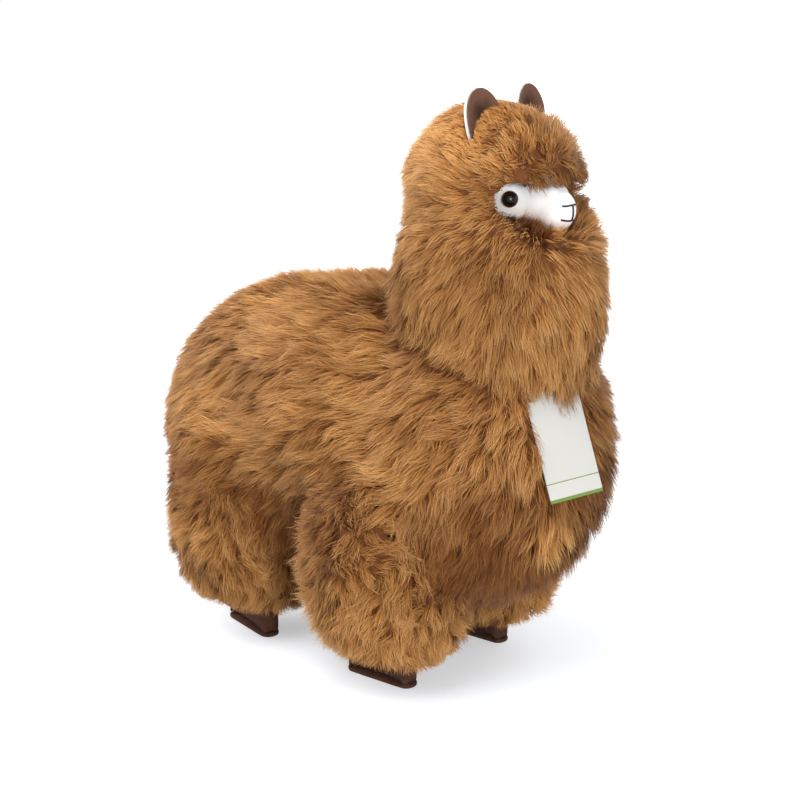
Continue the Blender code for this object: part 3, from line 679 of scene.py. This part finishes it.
def style_leg(lock, root):
    """Pale at the hem, and darker up under the belly, as painted shade."""
    # The darkening up under the belly is painted shade
    lock.shade += 0.30 * smooth_step(0.09, 0.03, root.z) - 0.25 * smooth_step(0.09, 0.13, root.z)


def style_fold(lock, root):
    """Flat and short in the chest's fold, with painted shade in it and a patch of painted backlight over it."""
    gap = off_fold(root)
    fold = smooth_step(0.012, 0.004, gap)
    lock.lift -= 6.0 * fold
    lock.length = min(lock.length, gap + 5 * MM)
    # Painted backlight on the patch over the fold, and painted shade in the fold
    lock.shade += 0.95 * smooth_step(0.023, 0.008, (root - CHEST_PAINTED_BACKLIGHT).length) - 0.75 * fold


def grow_locks(roots, coat_tree, trees):
    """Every lock by region: its line over the coat, its shade, its lift in millimetres, how wild it is."""
    grown = {}
    for root, normal, region, on_felt in roots:
        look = look_of(region)
        drift = drifting(root * 20.0)
        tuft = drifting(root * 62.0 + Vector((5, 9, 2)))
        lock = SimpleNamespace(wild=1.0)
        lock.twist = math.radians(look["stray"]) * (drift.x * 1.6 + tuft.x * 1.5 + rng.normal() * 0.30)
        scale = 1 + 0.25 * drift.y + 0.2 * tuft.y + rng.uniform(-0.12, 0.12)
        lock.lift = rng.normal() * 0.6 + 2.0 * drift.z + 5.5 * tuft.z
        patches = 0.30 * noise.noise(root * 16.0), 0.26 * noise.noise(root * 48.0)
        lock.shade = 0.51 + patches[0] + patches[1] + rng.normal() * 0.06
        # Painted light and shade: tufts that stand higher are paler, and the hollows between them darker
        lock.shade += 0.22 * tuft.z
        lock.length = look["length"] * MM * scale
        if region == "neck_and_head":
            style_head(lock, root, normal, trees)
        if region == "torso":
            style_torso(lock, root, trees)
        if region.startswith("leg"):
            style_leg(lock, root)
        if region in ("torso", "leg_front_left"):
            style_fold(lock, root)
        bend = math.radians(look["curl"]) * rng.uniform(0.3, 1.0)
        phase = rng.uniform(0, 2 * math.pi)
        lock.rows = lock_path(coat_tree, root, normal, region, lock.twist, bend, phase, lock.length)
        lock.depth = 1.2 if on_felt else min(look["depth"], 0.55 * lock.length / MM)
        grown.setdefault(region, []).append(lock)
    return grown


def strewn(region, locks):
    """A region's hairs as loose values: the lock, the place in it and the strays of each."""
    look = look_of(region)
    owner = np.repeat(np.arange(len(locks)), look["hairs"])
    count = len(owner)
    down = rng.random(count) < DOWN_SHARE
    reach, angle = np.sqrt(rng.random(count)), rng.uniform(0, 2 * np.pi, count)
    wild = np.array([lock.wild for lock in locks])[owner]
    return {
        "look": look,
        "rows": [np.array([[tuple(v) for v in lock.rows[i]] for lock in locks])[owner] for i in range(3)],
        "shade": np.array([lock.shade for lock in locks])[owner] + rng.normal(0, 0.13, count),
        "lift": np.array([lock.lift for lock in locks])[owner],
        "depth": np.array([lock.depth for lock in locks])[owner],
        "share": np.where(down, rng.uniform(0.40, 0.62, count), rng.uniform(0.62, 1.0, count)),
        "reach": reach,
        "off_side": reach * np.cos(angle),
        "off_along": reach * np.sin(angle),
        "loose": np.where(rng.random(count) < LOOSE_SHARE, rng.uniform(0.3, 1.0, count), 0.0) * wild,
        "stray": rng.normal(0, 1, count) * wild,
        "rise": rng.normal(0, 0.65, count) * wild,
        "bow": rng.normal(0, 0.7, count),
        "roll": rng.normal(0, 0.5, count),
        "limit": np.ones(count),
    }


def shaped(plan, chosen=slice(None)):
    """Middle lines, ribbons, normals, shades and heights of the hairs, each within its own limit."""
    look = plan["look"]

    def each(key):
        return plan[key][chosen][:, None, None]

    times = HAIR_TIMES[None, :] * plan["share"][chosen][:, None]
    along = times * plan["limit"][chosen][:, None]
    line, up, way = (resampled(rows[chosen], along) for rows in plan["rows"])
    up, way = unit(up), unit(way)
    side = unit(np.cross(way, up))
    t = times[..., None]
    fuzz = look["fuzz"] * (1 + 1.4 * each("loose")) * (0.35 + 0.65 * each("limit")) * MM
    height = -each("depth") * (1 - t) ** 2.2 + (look["tip"] + each("lift")) * t
    height = height + (1 - each("reach") ** 2) * 1.2 * t + each("loose") * 5.0 * t ** 1.5
    gather = look["radius"] * MM * (1 - look["close"] * t)
    centres = (
        line
        + side * (each("off_side") * gather + each("stray") * fuzz * t)
        + side * each("bow") * MM * np.sin(t * np.pi)
        + way * (each("off_along") * look["radius"] * MM)
        + up * (height * MM + each("rise") * fuzz * t)
    )
    ribbon = side * np.cos(each("roll")) + up * np.sin(each("roll"))
    facing = unit(np.cross(ribbon, way))
    facing = facing * np.sign(np.sum(facing * up, -1, keepdims=True))
    shading = unit(up * 0.75 + side * each("off_side") * 0.35 + facing * 0.25)
    tint = np.clip(plan["shade"][chosen], 0.02, 0.98)
    return centres, ribbon * look["width"] * MM, shading, tint, times


# Where the hair ends short of the eyes, muzzle, ears, card and feet
TRIM_TIMES = np.linspace(0, 1, 8)[1:]


def near_hairs(centres, core, reach):
    """The hairs that come within reach of a place, or all of them where none is given."""
    if core is None:
        return np.arange(len(centres))
    span = np.linalg.norm(centres - np.array(core), axis=-1).min(axis=1)
    return np.nonzero(span < reach)[0]


def trim(plan, blocked, core=None, reach=0.0):
    """Shortens each hair to end where it first meets a place that stays free; what still meets it goes."""
    near = near_hairs(shaped(plan)[0], core, reach)
    for _ in range(2):
        centres = shaped(plan, near)[0]
        hit = blocked(resampled(centres, np.tile(TRIM_TIMES, (len(near), 1))))
        before_hit = TRIM_TIMES[hit.argmax(axis=1)] - rng.uniform(0.05, 0.2, len(near))
        cut = np.where(hit.any(axis=1), before_hit, 1.0)
        plan["limit"][near] *= np.maximum(cut, 0.0)
    hit = blocked(shaped(plan, near)[0][:, 1:]).any(axis=1)
    plan["limit"][near[hit]] = 0.0


def eye_axis(word, aside, rise):
    """The way an eye looks: degrees to its own side, and a slope upwards."""
    side = -1 if word == "right" else 1
    aside = math.radians(aside)
    return Vector((side * math.sin(aside), -math.cos(aside), rise)).normalized()


def over_eye(word):
    """Blocked before an eye; the left cheek stays full beyond it."""
    axis = np.array(eye_axis(word, 44, 0.10))
    far = 60 * MM if word == "right" else 14 * MM

    def blocked(points):
        off = points - np.array(EYES[word])
        ahead = off @ axis
        radial = np.linalg.norm(off - ahead[..., None] * axis, axis=-1)
        return (ahead > -2 * MM) & (ahead < far) & (radial < 6.3 * MM + 0.22 * np.maximum(ahead, 0))

    return blocked


def first_hits(meets):
    """Blocked where a hair's points first meet something, asked one point at a time from the root."""

    def blocked(points):
        hit = np.zeros(points.shape[:2], bool)
        for i, row in enumerate(points):
            for k, point in enumerate(row):
                if meets(point):
                    hit[i, k] = True
                    break
        return hit

    return blocked


def through_solid(tree, spare):
    """Blocked in a solid, and within a spare distance of it."""

    def meets(point):
        place = Vector(point)
        found, facing, _, distance = tree.find_nearest(place)
        return distance < spare or (place - found).dot(facing) < 0

    return first_hits(meets)


def before_ear(word, ear_tree, head_tree):
    """Blocked close before an ear, above a low pile."""
    ear = EARS[word]

    def meets(point):
        place = Vector(point)
        beside = abs(place.x - ear.x) > 18 * MM or place.y > ear.y + 3 * MM
        if beside or ear_tree.find_nearest(place, 20 * MM)[0] is None:
            return False
        found, facing, _, distance = head_tree.find_nearest(place)
        return distance > 0.8 * MM and (place - found).dot(facing) > 0

    return first_hits(meets)


def over_face(tree):
    """Blocked in front of the part of the face that shows, and in it: farthest before the near cheek."""

    def meets(point):
        found, facing, _, distance = tree.find_nearest(Vector(point))
        low = point[2] < EYES["right"].z - 8 * MM
        reach = 2.5 * MM if facing.z < -0.35 or low else 3 * MM if point[0] > 0 else 14 * MM
        return shows(found) and distance < reach and point[2] < BROW_Z

    return first_hits(meets)


def card_frame():
    """The card's turn towards the toy's right, and the lean of its top backwards."""
    turn = Matrix.Rotation(math.radians(-11), 3, "Z")
    lean = Matrix.Rotation(math.radians(-22), 3, "X")
    return np.array(turn @ lean)


def over_card(top):
    """Blocked over the card's face, up to a height on it, and through it."""

    def blocked(points):
        local = (points - np.array(CARD)) @ card_frame()
        return (
            (np.abs(local[..., 0]) < 23.6 * MM)
            & (local[..., 1] < 1.2 * MM)
            & (local[..., 1] > -30 * MM)
            & (local[..., 2] > -40.5 * MM)
            & (local[..., 2] < top * MM)
        )

    return blocked


def below_hem(region):
    """Blocked under a leg's ragged hem, which rises away from the foot, and near the ground elsewhere."""
    low = HEM_Z.get(region, 9 * MM) + 0.6 * MM
    foot = MIDDLES[region] if region not in HEM_Z else middle(region.replace("leg", "foot"))

    def blocked(points):
        off = np.abs(points - np.array(foot)) - np.array((7.5, 29, 0)) * MM
        away = np.linalg.norm(np.maximum(off[..., :2], 0), axis=-1) if region in HEM_Z else 0
        return points[..., 2] < low + 0.42 * away + rng.uniform(-1.6, 2.0, (len(points), 1)) * MM

    return blocked


def trim_round_head(plan, trees):
    """Clears the felt, the eyes and the ears, and the place before each ear."""
    trim(plan, over_face(trees["face"]), FACE_MIDDLE, 0.055)
    plan["limit"][plan["limit"] < 0.3] = 0.0
    for word in SIDES:
        trim(plan, over_eye(word), EYES[word], 0.03)
        for leaf in (f"ear_{word}", f"ear_lining_{word}"):
            trim(plan, through_solid(trees[leaf], 0.5 * MM), EARS[word], 0.035)
        trim(plan, before_ear(word, trees[f"ear_lining_{word}"], trees["neck_and_head"]), EARS[word], 0.04)


def parts_of(region, roots):
    """Which hairs go to which piece of a region's fur: head and neck in two, the torso in four."""
    right, rear = roots[:, 0] < 0, roots[:, 1] > 0
    if region == "neck_and_head":
        return {"_right": right, "_left": ~right}
    if region == "torso":
        return {
            "_front_right": right & ~rear,
            "_front_left": ~right & ~rear,
            "_rear_right": right & rear,
            "_rear_left": ~right & rear,
        }
    return {"": np.ones(len(roots), bool)}


def make_fur():
    """The coat's hair, rooted in one skin round all the furred solids and trimmed round what shows."""
    region_trees = {}
    for name in FURRED:
        bm = merged(name)
        region_trees[name] = BVHTree.FromBMesh(bm)
        bm.free()
    bare = ["face", *(f"{kind}_{word}" for kind in ("ear", "ear_lining") for word in SIDES)]
    trees = region_trees | {name: tree_of(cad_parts[name].data) for name in bare}
    coat = coat_of((*FURRED, "face"))
    coat_tree = tree_of(coat.data)
    roots = lock_roots(coat, region_trees)
    bpy.data.objects.remove(coat)
    grown = grow_locks(roots, coat_tree, trees)
    # Dark roots and pale tips: partly the hair's own colour, partly painted shade deep in the coat and painted
    # backlight through the tips
    hair = fur_material(
        "caramel_hair",
        ((0.0, (0.08, 0.021, 0.004)), (0.45, (0.17, 0.052, 0.009)), (0.9, (0.28, 0.098, 0.020))),
        ((0.0, (0.27, 0.086, 0.016)), (0.45, (0.62, 0.268, 0.068)), (0.9, (0.93, 0.550, 0.215))),
    )
    for region, locks in grown.items():
        plan = strewn(region, locks)
        trim(plan, below_hem(region))
        trim(plan, over_card(8 if region == "neck_and_head" else 26), CARD, 0.085)
        if region == "neck_and_head":
            trim_round_head(plan, trees)
        hairs = shaped(plan, np.nonzero(plan["limit"] > SHORTEST_LEFT)[0])
        for ending, mask in parts_of(region, hairs[0][:, 0]).items():
            fur = hair_mesh(f"{region}_fur{ending}", [values[mask] for values in hairs], [hair])
            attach(fur, "root")


def make_undercoats():
    """The stuffed bodies under the fur, a shade deeper than the hair: partly their own colour, partly painted
    shade for the gaps between the locks.
    """
    skin = grained(
        "underfur", 900, ((0.13, 0.040, 0.009), (0.25, 0.084, 0.019)), 0.95, 0.9, 1.2 * MM
    )
    for name in FURRED:
        sink = 3.6 if name == "neck_and_head" else 5.5
        body = remeshed(f"{name}_body", merged(name), 6.0 * MM, 2, sink * MM, [skin])
        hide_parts(name)
        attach(body, "root")


# Face, ears, feet, card
def make_face():
    """The felt muzzle, with the bridge of its nose filled out, and sunk under the fur above the brow."""
    felt = grained(
        "white_felt", 1500, ((0.93, 0.92, 0.905), (0.98, 0.972, 0.96)), 0.92, 0.25, 0.2 * MM,
        Sheen_Weight=0.2,
    )
    form = merged("face")
    bridge = bmesh.ops.create_cube(form, size=1)["verts"]
    bmesh.ops.scale(form, verts=bridge, vec=(0.022, 0.040, 0.023))
    bmesh.ops.translate(form, verts=bridge, vec=(0, SNOUT.y + 0.027, SNOUT.z + 0.0048))
    edges = list({edge for vert in bridge for edge in vert.link_edges})
    bmesh.ops.bevel(
        form, geom=edges, offset=6 * MM, segments=4, profile=0.5, affect="EDGES", material=-1
    )
    face = remeshed("face_felt", form, 1.4 * MM, 4, -0.85 * MM, [felt])
    for vert in face.data.vertices:
        vert.co -= vert.normal * 6.5 * MM * smooth_step(BROW_Z + 1.5 * MM, BROW_Z + 6 * MM, vert.co.z)
    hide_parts("face")
    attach(face, "root")


def finer(name, node_name, materials, levels=2):
    """A solid's form with its corners joined and its surface subdivided."""
    bm = merged(node_name)
    bmesh.ops.join_triangles(
        bm, faces=bm.faces, angle_face_threshold=math.radians(40), angle_shape_threshold=math.radians(60)
    )
    piece = new_piece(name, bm, materials)
    finish = piece.modifiers.new("Finish", "SUBSURF")
    finish.levels = finish.render_levels = levels
    applied(piece)
    piece.data.shade_smooth()
    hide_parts(node_name)
    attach(piece, "root")
    return piece


def suede_ear(word):
    """Suede with painted shade that darkens it towards the hollow of an ear."""
    made, tree, shader = new_material(f"ear_suede_{word}", 0.9, Specular_IOR_Level=0.1)
    place, grain = add_grain(tree, shader, 1100, 0.4, 0.3 * MM)
    # Painted shade: the suede darkens with nearness to a point in the ear's hollow, to near black
    hollow = node(tree, "ShaderNodeVectorMath", operation="DISTANCE")
    hollow.inputs[1].default_value = EARS[word] + Vector((0, -0.004, 0.008))
    tree.links.new(place.outputs["Object"], hollow.inputs[0])
    away = node(tree, "ShaderNodeMapRange")
    away.inputs["From Min"].default_value = 0.0035
    away.inputs["From Max"].default_value = 0.0145
    away.inputs["To Max"].default_value = 0.75
    tree.links.new(hollow.outputs["Value"], away.inputs["Value"])
    grain_and_painted_shade = node(tree, "ShaderNodeMath", operation="MULTIPLY_ADD")
    grain_and_painted_shade.inputs[1].default_value = 0.55
    tree.links.new(grain.outputs["Patch"], grain_and_painted_shade.inputs[0])
    tree.links.new(away.outputs["Result"], grain_and_painted_shade.inputs[2])
    shades = ramp(tree, ((0.22, (0.013, 0.006, 0.004)), (0.85, (0.165, 0.082, 0.054))))
    tree.links.new(grain_and_painted_shade.outputs[0], shades.inputs["Fac"])
    tree.links.new(shades.outputs["Color"], shader.inputs["Base Color"])
    return made


def make_suede_pieces():
    """Ears with their fleece backs, and boots with their soles."""
    suede = grained(
        "brown_suede", 1400, ((0.060, 0.024, 0.015), (0.115, 0.050, 0.033)), 0.88, 0.4, 0.3 * MM,
        Specular_IOR_Level=0.15,
    )
    fleece = grained(
        "ear_fleece", 1300, ((0.72, 0.68, 0.63), (0.90, 0.88, 0.85)), 0.95, 0.7, 0.6 * MM,
        Sheen_Weight=0.3,
    )
    for word in SIDES:
        finer(f"ear_{word}_suede", f"ear_{word}", [suede_ear(word)])
        finer(f"ear_{word}_fleece", f"ear_lining_{word}", [fleece])
        for pair in ("front", "rear"):
            finer(f"boot_{pair}_{word}", f"foot_{pair}_{word}", [suede])
            finer(f"boot_sole_{pair}_{word}", f"sole_{pair}_{word}", [suede], 1)


EYE_RADIUS = 0.0055


def make_eyes():
    """A black pupil in a dark brown iris, drawn in rings round the eye's own axis."""
    for word in SIDES:
        made, tree, shader = new_material(f"eye_{word}_gloss", 0.13, Specular_IOR_Level=0.35)
        place = tree.nodes.new("ShaderNodeTexCoord")
        centred = node(tree, "ShaderNodeMapping", vector_type="TEXTURE")
        centred.inputs["Location"].default_value = EYES[word]
        centred.inputs["Rotation"].default_value = eye_axis(word, 39, 0).to_track_quat("Z", "Y").to_euler()
        tree.links.new(place.outputs["Object"], centred.inputs["Vector"])
        flat = node(tree, "ShaderNodeVectorMath", operation="MULTIPLY")
        flat.inputs[1].default_value = (1, 1, 0)
        span = node(tree, "ShaderNodeVectorMath", operation="LENGTH")
        tree.links.new(centred.outputs["Vector"], flat.inputs[0])
        tree.links.new(flat.outputs["Vector"], span.inputs[0])
        scaled = node(tree, "ShaderNodeMath", operation="MULTIPLY")
        scaled.inputs[1].default_value = 1 / EYE_RADIUS
        tree.links.new(span.outputs["Value"], scaled.inputs[0])
        rings = ramp(
            tree,
            (
                (0.0, (0.004, 0.003, 0.003)),
                (0.58, (0.004, 0.003, 0.003)),
                (0.68, (0.030, 0.010, 0.005)),
                (0.90, (0.022, 0.008, 0.004)),
                (1.0, (0.015, 0.006, 0.004)),
            ),
        )
        tree.links.new(scaled.outputs[0], rings.inputs["Fac"])
        tree.links.new(rings.outputs["Color"], shader.inputs["Base Color"])
        repaint(f"eye_{word}", made)


def repaint(name, material):
    """A solid that is shown as it is, in a new material."""
    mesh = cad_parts[name].data
    mesh.materials.clear()
    mesh.materials.append(material)


def make_small_fittings():
    """Thread for the mouth, and nylon for the washers behind the eyes."""
    thread = grained(
        "black_thread", 2500, ((0.006, 0.006, 0.006), (0.022, 0.020, 0.020)), 0.7, 0.5, 0.1 * MM
    )
    nylon = grained(
        "natural_nylon", 900, ((0.58, 0.58, 0.56), (0.66, 0.66, 0.64)), 0.5, 0.1, 0.05 * MM
    )
    repaint("mouth_stitching", thread)
    for word in SIDES:
        repaint(f"eye_washer_{word}", nylon)


def make_card():
    """White card with a thin green line and a green edge along its foot."""
    made, tree, shader = new_material("printed_card", 0.38)
    place = tree.nodes.new("ShaderNodeTexCoord")
    centred = node(tree, "ShaderNodeMapping", vector_type="TEXTURE")
    centred.inputs["Location"].default_value = CARD
    centred.inputs["Rotation"].default_value = Matrix(card_frame().tolist()).to_euler()
    split = tree.nodes.new("ShaderNodeSeparateXYZ")
    tree.links.new(place.outputs["Object"], centred.inputs["Vector"])
    tree.links.new(centred.outputs["Vector"], split.inputs["Vector"])
    low = node(tree, "ShaderNodeMapRange")
    low.inputs["From Min"].default_value = -0.040
    low.inputs["From Max"].default_value = 0.040
    tree.links.new(split.outputs["Z"], low.inputs["Value"])
    white, green = (0.60, 0.585, 0.54), (0.15, 0.24, 0.04)
    bands = ramp(tree, ((0.0, green), (0.026, white), (0.150, green), (0.158, white)))
    bands.color_ramp.interpolation = "CONSTANT"
    tree.links.new(low.outputs["Result"], bands.inputs["Fac"])
    tree.links.new(bands.outputs["Color"], shader.inputs["Base Color"])
    repaint("hang_tag", made)


make_camera()
make_studio()
make_floor()
make_undercoats()
make_face()
make_suede_pieces()
make_eyes()
make_small_fittings()
make_card()
make_fur()
